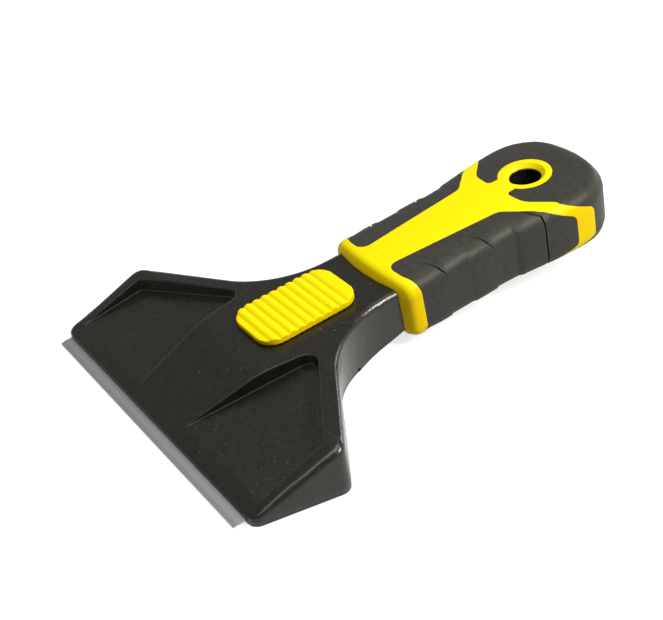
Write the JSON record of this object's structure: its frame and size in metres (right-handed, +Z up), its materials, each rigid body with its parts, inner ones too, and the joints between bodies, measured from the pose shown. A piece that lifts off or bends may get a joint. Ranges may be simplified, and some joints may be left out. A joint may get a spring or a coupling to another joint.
{
  "type": "ceramic hob scraper",
  "caption": "Wide hob scraper: steel blade held in a flat black head, yellow thumb slider that draws the blade in, handle with soft grey grips and a hanging hole.",
  "frame": {"origin": "centre of the bounding box seen from above, on the plane of the flat sole", "axes": "+X along the cutting edge, +Y from the edge to the heel of the handle, +Z up, away from the worktop"},
  "size_m": [0.1124, 0.1526, 0.0307],
  "materials": {
    "head_black": "satin, finely moulded",
    "sole_black": "satin",
    "blade_steel": "satin, with a ground edge",
    "slider_yellow": "satin",
    "carriage_grey": "satin",
    "screw_steel": "zinc plated",
    "spring_steel": "bright",
    "core_yellow": "satin",
    "grip_grey": "soft matt"
  },
  "bodies": {
    "frame": {"head_cover": "head_black", "head_base": "sole_black", "base_screws": "screw_steel", "detent_leaf": "spring_steel", "handle_core": "core_yellow", "grip_left": "grip_grey", "grip_right": "grip_grey", "grip_heel": "grip_grey"},
    "slider": {"blade": "blade_steel", "blade_carriage": "carriage_grey", "slider_button": "slider_yellow", "button_screw": "screw_steel"}
  },
  "joints": [
    {"name": "blade_slide", "type": "slide", "parent": "frame", "child": "slider", "axis": [0, 0.9934, 0.1149], "range_m": [0, 0.005]}
  ]
}
